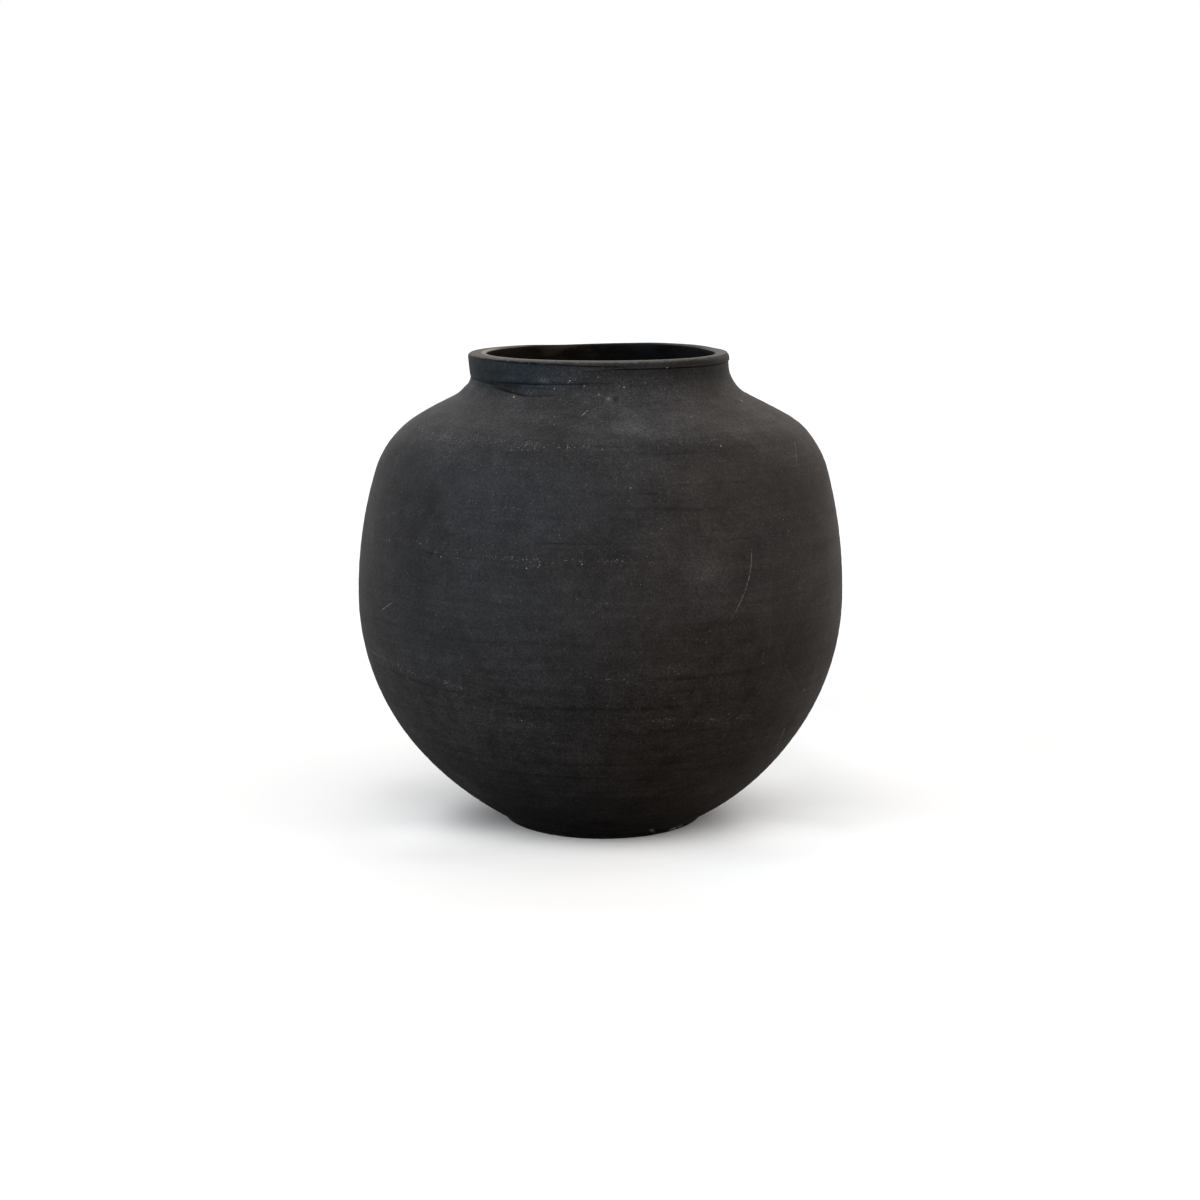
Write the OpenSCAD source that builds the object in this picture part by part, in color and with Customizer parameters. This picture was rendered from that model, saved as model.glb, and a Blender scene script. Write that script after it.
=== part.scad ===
// Globular hand-thrown vase: a slab floor, thrown courses of wall, a neck collar and a rolled lip.
// Each piece is luted on the one below it: a tongue under its edge sits in a groove of the same size.
// All pieces are turned about Z, and the vase stands on Z = 0.

/* [Body] */
// Height from the table to the top of the lip
vase_h = 301; // [286:1:316]
// Diameter at the widest level
belly_d = 310; // [296:1:330]
// Height of the widest level
belly_z = 146.5; // [138:0.5:154]
// Thickness of the thrown wall
wall = 10; // [8:0.5:12]
// Radius of the wall's curve just below the widest level
belly_low_r = 154; // [144:1:164]
// Angle above the widest level at which the shoulder starts to turn in
shoulder_start = 16.4; // [15:0.2:18]
// Radius of the shoulder's curve
shoulder_r = 58.5; // [50:0.5:66]
// Steepest slope of the shoulder, in degrees from upright
shoulder_slope = 62.5; // [58:0.5:66]

/* [Foot] */
// Diameter where the bowl meets the foot's bevelled edge
foot_d = 133.5; // [122:0.5:146]
// Height of the bevelled edge
foot_edge_h = 3.5; // [2:0.5:6]
// How far the bevel runs in to the standing ring
foot_bevel = 2.5; // [1:0.5:5]
// Thickness of the slab floor
floor_t = 12; // [10:0.5:16]
// Width of the standing ring
stand_w = 12; // [8:1:24]
// Depth of the dished underside
dish_h = 1.5; // [0.5:0.5:3]

/* [Neck and lip] */
// Diameter of the upright neck
neck_d = 163; // [152:1:174]
// Radius of the hollow curve between shoulder and neck
neck_curve_r = 20; // [14:1:24]
// Height of the upright neck below the lip
neck_h = 4; // [1:0.5:6]
// Height of the lip
lip_h = 6; // [5:0.5:10]
// How far the lip stands out from the neck
lip_out = 0.8; // [0.4:0.1:2]
// Rounding of the lip's two upper edges
lip_round = 2.5; // [1:0.5:4]

/* [Seams] */
// Seam above the bowl: its angle below the widest level
bowl_seam = 34; // [30:1:38]
// Seam below the belly: its angle below the widest level
belly_low_seam = 8; // [5:0.2:12]
// Seam above the belly: its angle above the widest level
belly_up_seam = 8.6; // [5:0.2:12]
// Seam on the shoulder: its angle around the shoulder's curve
shoulder_seam = 48; // [40:1:54]
// Seam below the neck: its angle around the hollow curve
neck_seam = 30; // [20:1:40]
// Width of the tongue and groove at each seam
seat_w = 5; // [3:0.5:6]
// Depth of the tongue and groove at each seam
seat_h = 4; // [2:0.5:6]

/* [Hidden] */
$fn = 180;
// Most that a chord may stray from its arc
chord_error = 0.05;
clay = "#2e2d2d";
worn_clay = "#3a3938";

function aim(angle) = [cos(angle), sin(angle)];

// Below the widest level: one curve down to the bowl's seam, then the bowl's own curve, tangent to it there
// and running through the top of the foot's bevelled edge.
belly_r = belly_d / 2;
low_centre = [belly_r - belly_low_r, belly_z];
bowl_aim = aim(-bowl_seam);
foot_corner = [foot_d / 2, foot_edge_h];
bowl_chord = foot_corner - (low_centre + belly_low_r * bowl_aim);
bowl_r = -(bowl_chord * bowl_chord) / (2 * bowl_chord * bowl_aim);
bowl_centre = low_centre + (belly_low_r - bowl_r) * bowl_aim;
stand_r = foot_d / 2 - foot_bevel;
dish_r = stand_r - stand_w;

// Neck and lip, down from the top
lip_z = vase_h - lip_h;
neck_r = neck_d / 2;
mouth_r = neck_r - wall;
neck_z = lip_z - neck_h;
neck_centre = [neck_r + neck_curve_r, neck_z];

// Above the widest level: a wide curve, the shoulder's curve, a straight slope and the neck's hollow curve, each
// tangent to the next. The wide curve's radius is the one that brings the slope to the neck at its height.
slope_top_r = neck_r + neck_curve_r * (1 - cos(shoulder_slope));
turn_in = belly_r - shoulder_r * (cos(shoulder_start) - cos(shoulder_slope)) - slope_top_r;
turn_up = neck_z - belly_z + shoulder_r * sin(shoulder_start) - (shoulder_r + neck_curve_r) * sin(shoulder_slope);
belly_up_r = (turn_up - turn_in / tan(shoulder_slope))
    / (sin(shoulder_start) - (1 - cos(shoulder_start)) / tan(shoulder_slope));
up_centre = [belly_r - belly_up_r, belly_z];
shoulder_centre = up_centre + (belly_up_r - shoulder_r) * aim(shoulder_start);

// Points along an arc from one angle to another
function arc(centre, r, from, to) =
    let (steps = ceil(abs(to - from) / (2 * acos(1 - chord_error / r))))
    [for (i = [0:steps]) centre + r * aim(from + (to - from) * i / steps)];

// One path after another that starts where the first ends
function joined(first, second) = concat(first, [for (i = [1:len(second) - 1]) second[i]]);

function reversed(path) = [for (i = [len(path) - 1:-1:0]) path[i]];

function last(path) = path[len(path) - 1];

// Angle at which the bowl's curve of radius r is at height z
function bowl_angle(r, z) = asin((z - bowl_centre.y) / r);

// Wall's curves, offset inwards by depth: 0 for the outside, wall for the inside
function bowl_path(depth, z) =
    arc(bowl_centre, bowl_r - depth, bowl_angle(bowl_r - depth, z), -bowl_seam);
function low_path(depth, from, to) = arc(low_centre, belly_low_r - depth, from, to);
function up_path(depth, from, to) = arc(up_centre, belly_up_r - depth, from, to);
function shoulder_path(depth, from, to) = arc(shoulder_centre, shoulder_r - depth, from, to);
function neck_path(depth, from, to) = arc(neck_centre, neck_curve_r + depth, 180 + from, 180 + to);

// Three corners of the tongue at a seam, from the outside of the wall to the inside
function seat(outside, inside) =
    let (
        across = (inside - outside) / norm(inside - outside),
        down = [-across.y, across.x],
        middle = (outside + inside) / 2
    )
    [middle - across * seat_w / 2, middle + down * seat_h, middle + across * seat_w / 2];

// Ring of wall between two seams, from its outside and inside paths, both given upwards
module course(outside, inside) {
    top_seat = seat(last(outside), last(inside));
    low_seat = seat(outside[0], inside[0]);
    rotate_extrude()
        polygon(concat(outside, top_seat, reversed(inside), reversed(low_seat)));
}

// Slab floor: dished underside, standing ring, bevelled edge, start of the bowl's curve and the wall's groove
module base_slab() {
    edge = arc(bowl_centre, bowl_r, bowl_angle(bowl_r, foot_edge_h), bowl_angle(bowl_r, floor_t));
    wall_foot = bowl_path(wall, floor_t)[0];
    color(clay)
        rotate_extrude()
            polygon(concat(
                [[0, dish_h], [dish_r, dish_h], [dish_r + dish_h, 0], [stand_r, 0]],
                edge,
                seat(last(edge), wall_foot),
                [wall_foot, [0, floor_t]]
            ));
}

module bowl_course() {
    color(clay)
        course(bowl_path(0, floor_t), bowl_path(wall, floor_t));
}

module lower_course() {
    color(clay)
        course(low_path(0, -bowl_seam, -belly_low_seam), low_path(wall, -bowl_seam, -belly_low_seam));
}

module belly_course() {
    function path(depth) = joined(low_path(depth, -belly_low_seam, 0), up_path(depth, 0, belly_up_seam));
    color(clay)
        course(path(0), path(wall));
}

module upper_course() {
    function path(depth) = joined(
        up_path(depth, belly_up_seam, shoulder_start),
        shoulder_path(depth, shoulder_start, shoulder_seam)
    );
    color(clay)
        course(path(0), path(wall));
}

module shoulder_course() {
    function path(depth) = concat(
        shoulder_path(depth, shoulder_seam, shoulder_slope),
        neck_path(depth, shoulder_slope, neck_seam)
    );
    color(worn_clay)
        course(path(0), path(wall));
}

module neck_collar() {
    function path(depth) = concat(neck_path(depth, neck_seam, 0), [[neck_r - depth, lip_z]]);
    color(clay)
        course(path(0), path(wall));
}

// Rolled lip: a small round out from the neck, an upright face, two rounded edges and the mouth's wall
module lip_roll() {
    round_z = vase_h - lip_round;
    roll_out = arc([neck_r, lip_z + lip_out], lip_out, -90, 0);
    outer_edge = arc([neck_r + lip_out - lip_round, round_z], lip_round, 0, 90);
    inner_edge = arc([mouth_r + lip_round, round_z], lip_round, 90, 180);
    mouth_foot = [mouth_r, lip_z];
    color(worn_clay)
        rotate_extrude()
            polygon(concat(
                roll_out, outer_edge, inner_edge, [mouth_foot],
                reversed(seat(roll_out[0], mouth_foot))
            ));
}

base_slab();
bowl_course();
lower_course();
belly_course();
upper_course();
shoulder_course();
neck_collar();
lip_roll();
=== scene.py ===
"""Looks of a hand-thrown globe vase in unglazed black clay.

Each piece of the frame is turned again about the vase's axis from its own section, with the unevenness
that hands leave, and takes a procedural clay. A white floor, soft light all round and the camera follow.
Angles go round the axis: 0 faces the camera, and plus is to its right.
"""
import math
from collections import namedtuple
from functools import reduce

import bmesh
import bpy
import numpy as np
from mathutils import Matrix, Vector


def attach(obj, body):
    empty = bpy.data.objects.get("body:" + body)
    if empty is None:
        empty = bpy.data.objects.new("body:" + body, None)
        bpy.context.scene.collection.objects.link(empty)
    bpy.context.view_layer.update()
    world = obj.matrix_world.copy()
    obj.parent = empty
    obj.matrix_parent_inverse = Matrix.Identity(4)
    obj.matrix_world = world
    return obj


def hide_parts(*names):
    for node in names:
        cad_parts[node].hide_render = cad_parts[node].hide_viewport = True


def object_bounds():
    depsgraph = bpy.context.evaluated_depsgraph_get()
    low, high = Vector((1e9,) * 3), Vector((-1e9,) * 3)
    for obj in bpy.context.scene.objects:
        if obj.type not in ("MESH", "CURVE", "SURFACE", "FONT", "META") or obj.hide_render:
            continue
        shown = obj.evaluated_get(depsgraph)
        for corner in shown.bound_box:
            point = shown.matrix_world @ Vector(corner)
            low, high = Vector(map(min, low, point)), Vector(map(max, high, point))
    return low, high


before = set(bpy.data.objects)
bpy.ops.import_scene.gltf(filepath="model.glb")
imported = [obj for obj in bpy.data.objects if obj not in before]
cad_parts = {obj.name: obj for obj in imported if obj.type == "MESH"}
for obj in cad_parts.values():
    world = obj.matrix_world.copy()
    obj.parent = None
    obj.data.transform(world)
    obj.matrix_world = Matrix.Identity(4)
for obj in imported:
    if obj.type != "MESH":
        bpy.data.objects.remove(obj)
cad_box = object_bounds()

MM = 0.001
PIECES = (
    "base_slab", "bowl_course", "lower_course", "belly_course",
    "upper_course", "shoulder_course", "neck_collar", "lip_roll",
)
BODY = "root"
VASE_TOP = cad_box[1][2]
draws = np.random.default_rng(28)

# Section of the vase, from the frame

SAME_RING = 0.02 * MM
CORNER_TURN = math.radians(35)
# How far ahead and behind a direction along the section is taken
DIRECTION_REACH = 0.05 * MM


def ring_outline(node):
    """Section of a turned node: the (radius, height) of its mesh's rings, in order along the section."""
    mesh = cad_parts[node].data
    spots = np.empty(3 * len(mesh.vertices))
    mesh.vertices.foreach_get("co", spots)
    spots = spots.reshape(-1, 3)
    flat = np.column_stack([np.hypot(spots[:, 0], spots[:, 1]), spots[:, 2]])
    ring_of = np.full(len(flat), -1)
    rings = []
    while (ring_of < 0).any():
        first = flat[np.argmax(ring_of < 0)]
        near = np.abs(flat - first).max(1) < SAME_RING
        ring_of[near] = len(rings)
        rings.append(flat[near].mean(0))
    ends = np.empty(2 * len(mesh.edges), int)
    mesh.edges.foreach_get("vertices", ends)
    beside = [set() for _ in rings]
    for a, b in ring_of[ends.reshape(-1, 2)]:
        if a != b:
            beside[a].add(b)
            beside[b].add(a)
    # A flat disc has no ring at the axis, so its outline is open there
    order = [min(range(len(rings)), key=lambda k: (len(beside[k]), rings[k][1]))]
    while True:
        onward = [k for k in sorted(beside[order[-1]]) if k not in order]
        if not onward:
            return [rings[k] for k in order]
        order.append(onward[0])


def in_path(point, path):
    return any(np.abs(point - other).max() < SAME_RING for other in path)


def split_at_seams(outline, below, above):
    """Stretches of a closed outline that its neighbours don't share, with the seam points at their ends."""
    kept = [not in_path(p, below) and not in_path(p, above) for p in outline]
    start = next(k for k in range(len(outline)) if not kept[k] and kept[(k + 1) % len(outline)])
    looped = [outline[(start + k) % len(outline)] for k in range(len(outline) + 1)]
    runs = [[looped[0]]]
    for before, point in zip(looped[:-1], looped[1:]):
        if any(in_path(before, seam) and in_path(point, seam) for seam in (below, above)):
            runs.append([point])
        else:
            runs[-1].append(point)
    return [run for run in runs if len(run) > 1]


def from_middle(point):
    """Distance from the vase's middle: an outer wall is further from it than the inner wall beside it."""
    return math.hypot(point[0], point[1] - VASE_TOP / 2)


outlines = [ring_outline(name) for name in PIECES]
seams = []
for lower, upper in zip(outlines[:-1], outlines[1:]):
    seam = [point for point in lower if in_path(point, upper)]
    if from_middle(seam[0]) < from_middle(seam[-1]):
        seam.reverse()
    seams.append(np.array(seam))

foot_outline = outlines[0]
seam_start = next(k for k, point in enumerate(foot_outline) if in_path(point, seams[0]))
outer_runs = [[np.array([0.0, foot_outline[0][1]])] + foot_outline[:seam_start + 1]]
inner_runs = [[np.array([0.0, foot_outline[-1][1]]), foot_outline[-1]]]
for k in range(1, len(PIECES) - 1):
    runs = split_at_seams(outlines[k], seams[k - 1], seams[k])
    for run in runs:
        if not in_path(run[0], seams[k - 1]):
            run.reverse()
    runs.sort(key=lambda run: from_middle(run[0]))
    inner_runs.append(runs[0])
    outer_runs.append(runs[1])
lip_run = split_at_seams(outlines[-1], seams[-1], [])[0]
if not in_path(lip_run[0], seams[-1][:1]):
    lip_run.reverse()


def chained(runs):
    """Runs that follow each other as one list of points, with the shared ends written once."""
    points = list(runs[0])
    for run in runs[1:]:
        points.extend(run[1:])
    return points


section = np.array(chained(outer_runs + [lip_run] + [run[::-1] for run in reversed(inner_runs)]))
chords = np.diff(section, axis=0)
chord_lengths = np.hypot(chords[:, 0], chords[:, 1])
stations = np.concatenate([[0.0], np.cumsum(chord_lengths)])
headings = np.arctan2(chords[:, 1], chords[:, 0])
turns = np.abs((np.diff(headings) + math.pi) % (2 * math.pi) - math.pi)
corner_marks = [0] + [k + 1 for k, turn in enumerate(turns) if turn > CORNER_TURN] + [len(section) - 1]


def eased(knots, values, at):
    """Smooth curve through values at knots that never runs past them between two knots."""
    knots = np.asarray(knots, float)
    values = np.asarray(values, float)
    gaps = np.diff(knots)
    shape = (-1,) + (1,) * (values.ndim - 1)
    rates = np.diff(values, axis=0) / gaps.reshape(shape)
    before = gaps[:-1].reshape(shape)
    after = gaps[1:].reshape(shape)
    same_way = rates[:-1] * rates[1:] > 0
    first = np.where(same_way, rates[:-1], 1)
    second = np.where(same_way, rates[1:], 1)
    middle = 3 * (before + after) / ((before + 2 * after) / first + (2 * before + after) / second)
    slopes = np.concatenate([rates[:1], np.where(same_way, middle, 0), rates[-1:]])
    at = np.asarray(at, float)
    k = np.clip(np.searchsorted(knots, at, side="right") - 1, 0, len(gaps) - 1)
    gap = gaps[k].reshape(at.shape + (1,) * (values.ndim - 1))
    t = np.clip((at - knots[k]) / gaps[k], 0, 1).reshape(gap.shape)
    return (
        values[k] * (1 + 2 * t) * (1 - t) ** 2 + values[k + 1] * t * t * (3 - 2 * t)
        + gap * (slopes[k] * t * (1 - t) ** 2 - slopes[k + 1] * t * t * (1 - t))
    )


def on_section(at):
    """Points of the section at these stations, round between its corners."""
    at = np.asarray(at, float)
    points = np.empty((len(at), 2))
    for first, last in zip(corner_marks[:-1], corner_marks[1:]):
        inside = (at >= stations[first]) & (at <= stations[last])
        points[inside] = eased(stations[first:last + 1], section[first:last + 1], at[inside])
    return points


def outward(at):
    """Directions square to the section, out of the clay, at these stations."""
    ahead = on_section(np.clip(np.asarray(at) + DIRECTION_REACH, 0, stations[-1]))
    behind = on_section(np.clip(np.asarray(at) - DIRECTION_REACH, 0, stations[-1]))
    along = ahead - behind
    along /= np.hypot(along[:, 0], along[:, 1])[:, None]
    return np.column_stack([along[:, 1], -along[:, 0]])


crest = stations[np.argmax(section[:, 1])]
# Widths of the rows of faces, later ones over earlier: whether outside, lowest and highest place, greatest
# radius and width, all in millimetres
ROW_WIDTHS = (
    (False, 0, 302, 200, 4), (False, 284, 302, 200, 0.6),
    (True, -1, 302, 200, 1.2), (True, 272, 302, 200, 0.4), (True, 293.5, 302, 200, 0.25),
    (True, -1, 10, 200, 0.8), (True, -1, 2, 50, 5),
)
# Step in which rows are counted along the section
COUNTING_STEP = 0.1 * MM


def row_gap(at):
    """Width of a row of faces at these stations: fine on lip, neck and foot, coarse where little shows."""
    points = on_section(at)
    outside = np.asarray(at) < crest
    gap = np.zeros(len(points))
    for where, low, high, radius, width in ROW_WIDTHS:
        within = (points[:, 1] > low * MM) & (points[:, 1] < high * MM) & (points[:, 0] < radius * MM)
        gap[within & (outside == where)] = width * MM
    return gap


def rows_between(start, end):
    """Stations of the rows from start to end, with each corner between them kept."""
    stops = [start] + [stations[k] for k in corner_marks if start < stations[k] < end] + [end]
    rows = [np.array([start])]
    for a, b in zip(stops[:-1], stops[1:]):
        fine = np.linspace(a, b, max(2, int((b - a) / COUNTING_STEP) + 2))
        count = np.concatenate([[0.0], np.cumsum(np.diff(fine) / row_gap((fine[1:] + fine[:-1]) / 2))])
        wanted = np.linspace(0, count[-1], max(1, math.ceil(count[-1])) + 1)
        rows.append(np.interp(wanted, count, fine)[1:])
    return np.concatenate(rows)


def station_of(point):
    return stations[np.argmin(np.abs(section - point).max(1))]


# Hand's unevenness, in millimetres and degrees

# A span is two angles and how far it fades inside each. A line or an edge is a row of (angle, height).
COLUMNS = 720
column_angles = np.arange(COLUMNS) * 2 * math.pi / COLUMNS - math.pi

# How far the wall strays to the right at each height
OUTER_LEAN = (
    (0, 1.6), (15, 2), (40, 1.2), (60, 0.5), (100, 0.1), (150, 0), (200, 0.3),
    (235, 0.9), (262, 1.5), (280, 0.9), (290, -0.4), (300, -1.3),
)
INNER_LEAN = ((0, 1.6), (60, 0.8), (150, 0), (262, 1.5), (285, 0.6), (300, 0.2))
# How far the rim lies below its highest spot, by angle, and where the wall starts to follow it
RIM_DROPS = (
    (-180, 0.9), (-162, 1.4), (-141, 0.8), (-110, 1.05), (-60, 1.2), (0, 1), (60, 1.2),
    (98, 1), (112, 0.8), (125, 0.2), (135, 0), (150, 0), (165, 0.3), (180, 0.9),
)
RIM_FOOT = 270
# Throwing rings: depth, pitches along the wall, how much they fade round the vase, and the heights over which
# they start and end
RING_DEPTH = 0.035
RING_PITCHES = (6.1, 9.7, 15.3)
RING_FADE = 0.4
RINGS_START = (6, 30)
RINGS_END = (278, 290)
INNER_RING_DEPTH = 0.25
INNER_RING_PITCH = 11
INNER_RINGS_START = (13, 30)
INNER_RINGS_END = (270, 288)
# Waves of the slow unevenness round the vase, and how far they add up
WAVER_HARMONICS = (1, 2, 3, 5)
WAVER_REACH = 1.6
# Crease under the left of the neck and lower edge of the hollow below it
CREASE = (
    (-78, 285), (-60, 284.6), (-51, 284.4), (-46, 285.6), (-30, 286), (-20, 286.7), (-10, 287), (5, 287.4),
)
HOLLOW_FOOT = (
    (-66, 283.6), (-56, 283), (-45, 281.3), (-40, 280.5), (-35, 279.6), (-31, 278.8), (-20, 280), (-6, 284),
)
# How soft the hollow's edges are, its span and depth
HOLLOW_EDGE = (-0.8, 1.2)
HOLLOW_TOP = (283, 286.5)
HOLLOW_SPAN = (-58, -8, 14)
HOLLOW_DEPTH = 0.45
# Chips on the foot's edge, each a line of (angle, height) with half its width
CHIPS = ((((24, 7.2), (32, 2.2)), 1.7), (((40, 1.3), (54, 1.5)), 0.9))
CHIP_DEPTH = 0.7
# Lines pressed into the clay: line, how far above it, half width, depth and span. They are the wheel line on
# the upper body, the ledge on the left, the crease, the hollow's lower edge and the chips.
PRESSED_LINES = (
    (((-20, 200.7), (20, 200.7)), 0, 0.7, 0.16, (-18, 14, 8)),
    (((-75, 118), (-38, 111.5)), 0, 1.2, 0.2, (-85, -34, 8)),
    (CREASE, 0, 0.9, 0.55, (-96, 12, 36)),
    (HOLLOW_FOOT, 0.4, 0.6, 0.6, (-58, -26, 8)),
    (CHIPS[0][0], 0, CHIPS[0][1], CHIP_DEPTH, (23, 33, 4)),
    (CHIPS[1][0], 0, CHIPS[1][1], CHIP_DEPTH, (39, 55, 4)),
)
# Swells of the shoulder, first the step under the neck's left end: span, middle height, half height and how
# far each stands out
SWELLS = (
    ((-150, -52, 30), 276.8, 3.2, 0.75),
    ((-135, -50, 30), 266, 3.5, 0.3),
    ((45, 140, 30), 253, 5, 0.4),
)
# Pimple on the shoulder: its place, the wall's radius there, half width, how much wider than high and height
PIMPLE_ANGLE = 2.8
PIMPLE_LEVEL = 277.5
PIMPLE_WALL = 86.8
PIMPLE_HALF = 1.7
PIMPLE_SQUEEZE = 1.6
PIMPLE_STAND = 0.7
# Neck and lip: a bead with a thin line under it on the right, one smeared wall on the left
NECK_RADIUS = seams[-1][0][0] / MM
LIP_FOOT = seams[-1][0][1] / MM - 0.05
LIP_STAND = max(point[0] for point in lip_run) / MM - NECK_RADIUS
MOUTH_RADIUS = min(point[0] for point in lip_run) / MM
LIP_SHIFT_FROM = 284
LIP_SHIFT_TO = 298
BEAD_SPAN = (-4, 184, 18)
SMEAR_SPAN = (-184, 8, 18)
BEAD_FOOT = (295.7, 296.4)
BEAD_LINE = 295.9
BEAD_LINE_HALF = 0.45
BEAD_LINE_DEPTH = 0.35
SMEAR_FOOT = (283.6, 286.6)
# How far the lip's outer edge slopes down at the back, where it does and where it does so less
BACK_TILT = 0.5
BACK_TILT_ANGLES = (95, 150)
BACK_TILT_FOOT = 290
LESS_TILT = 0.8
LESS_TILT_SPAN = (108, 168, 18)

# Marks on the clay, and painted light and shade, in millimetres and degrees

# Lower edge of the lip's band of wear and painted highlight, and its edge inside the mouth
WEAR_AND_HIGHLIGHT_EDGE = ((-180, 300.9), (-76, 300.1), (-57, 300.1), (-31, 300), (5, 300), (60, 300.5), (180, 300.9))
WEAR_AND_HIGHLIGHT_EDGE_INSIDE = 299.9
# Painted shade low on the foot, near the floor: the heights over which each shade ends, and how dark it is
FOOT_PAINTED_SHADES = ((4, 55, 0.75), (5, 24, 0.55))
# Painted shade in the hollow under the crease: how soft its edges are, then span and darkness of each shade
HOLLOW_SHADE_FOOT = (-0.3, 0.9)
HOLLOW_SHADE_TOP = (-0.7, 0.4)
HOLLOW_SHADES = (((-58, -32, 10), 0.95), ((-44, -6, 12), 0.12))
# Bluish smear on the neck: its lower edge, how soft that is, and where it starts and ends
BLUE_FOOT = (
    (-75, 283), (-60, 281), (-50, 280), (-40, 279.4), (-30, 278.6), (-20, 279), (-5, 281), (16, 285),
)
BLUE_EDGE = (-1.5, 3.5)
BLUE_START = (-86, -56)
BLUE_END = (-34, 9)
# Painted among them: shade under the lip and bead on the right of the neck, shade in the hollow on the left,
# the pimple's highlight and shadow, and shade and light low on the foot's sides
# Soft stains and painted light: middle's angle and height, reach in degrees and in mm, and how much lighter
# they are
STAINS_AND_PAINTED_LIGHT = (
    (12, 262, 14, 7, 0.35), (9, 264, 12, 4.5, 0.12), (24, 257, 14, 6, -0.15), (12, 272, 34, 12, 0.15),
    (-26, 269, 22, 9, 0.25), (24, 182, 8, 30, 0.3), (15, 243, 6, 5, 0.1), (24, 243, 9, 6, -0.26),
    (0, 240, 130, 18, -0.13), (0, 252, 150, 9, -0.1), (-28, 252, 16, 9, -0.25), (30, 252, 32, 9, -0.37),
    (40, 238, 28, 12, -0.12), (-52, 190, 28, 75, -0.28), (-45, 220, 6, 16, -0.25),
    (58, 212, 26, 48, -0.28), (42, 135, 32, 26, -0.28), (14, 138, 22, 14, -0.2),
    (0, 194, 16, 19, -0.27), (-66, 240, 20, 30, -0.38), (-52, 220, 14, 12, -0.2),
    (64, 188, 16, 12, -0.2), (8, 118, 40, 36, -0.12), (-36, 140, 18, 14, -0.2),
    (-52, 172, 14, 14, -0.14), (-13, 268, 9, 7, -0.17), (46, 268, 14, 8, -0.28), (6, 268, 14, 8, 0.14),
    (52, 125, 15, 85, -0.15), (12, 225, 24, 12, -0.15), (-22, 165, 24, 18, 0.1), (-24, 93, 26, 13, 0.1),
    (-13, 76, 14, 12, 0.18), (17, 66, 7, 7, -0.35), (30, 44, 34, 18, 0.25), (-36, 24, 22, 14, -0.25),
    (58, 8, 46, 15, -0.72), (-48, 8, 24, 15, -0.42), (-52, 33, 16, 20, 0.6), (-64, 72, 16, 26, 0.2),
    (36, 32, 26, 17, 0.35), (-68, 222, 14, 18, -0.18), (58, 186, 14, 14, -0.15),
    (110, 300.6, 45, 3, -0.25), (54, 289, 28, 13, -0.6), (44, 294.4, 44, 4.5, -0.45),
    (70, 291, 20, 9, -0.95), (26, 287, 10, 4, 0.25), (-62, 291, 26, 11, -0.45), (-20, 289, 17, 9, 0.6),
    (-46, 293.5, 16, 6, -0.18), (50, 298.6, 66, 2.8, -0.5), (-24.4, 288.5, 3.4, 1.7, 0.9),
    (2.4, 278.7, 1.8, 2.4, 1.1), (5.2, 278.5, 1.7, 2.6, -0.8), (-62, 282.5, 11, 5, -0.85),
    (-50, 279, 11, 5, -0.7), (50, 280, 10, 7, -0.6), (-15, 260, 14, 8, -0.3), (3, 264, 5, 4.5, 0.38),
    (-10, 280, 7, 4.5, 0.25), (16, 280, 9, 5, 0.28), (28, 280, 9, 6, 0.22), (32, 261, 15, 5, -0.26),
    (47, 299.6, 13, 2.5, -0.35), (18, 149, 15, 7, -0.32), (33, 108, 9, 7, -0.28), (34, 134, 7, 9, 0.4),
    (-23, 210, 13, 7, -0.22), (18, 232, 9, 9, 0.2), (40, 228, 8, 7, -0.22), (46, 212, 15, 4, 0.2),
    (-50, 13, 8, 7, -0.45), (-13, 42, 8, 5, 0.3), (9, 213, 12, 8, -0.2), (-12, 216, 12, 6, -0.18),
    (-4, 149, 12, 6, -0.18), (130, 263, 22, 8, 0.25), (-146, 267, 28, 9, 0.22),
    (156, 225, 22, 22, -0.2), (-128, 178, 28, 32, -0.22), (112, 150, 24, 30, -0.16),
    (-146, 108, 30, 24, 0.16), (146, 88, 26, 20, -0.16), (-112, 60, 26, 18, 0.16),
    (-104, 232, 16, 18, -0.16), (124, 228, 28, 2.6, -0.4), (-142, 202.6, 26, 2.4, -0.4),
    (-139, 104.4, 34, 3, -0.4), (128, 121.8, 34, 2.8, -0.35), (140, 66.6, 34, 3, -0.35),
    (-122, 143.4, 30, 2.8, -0.3),
)
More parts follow.
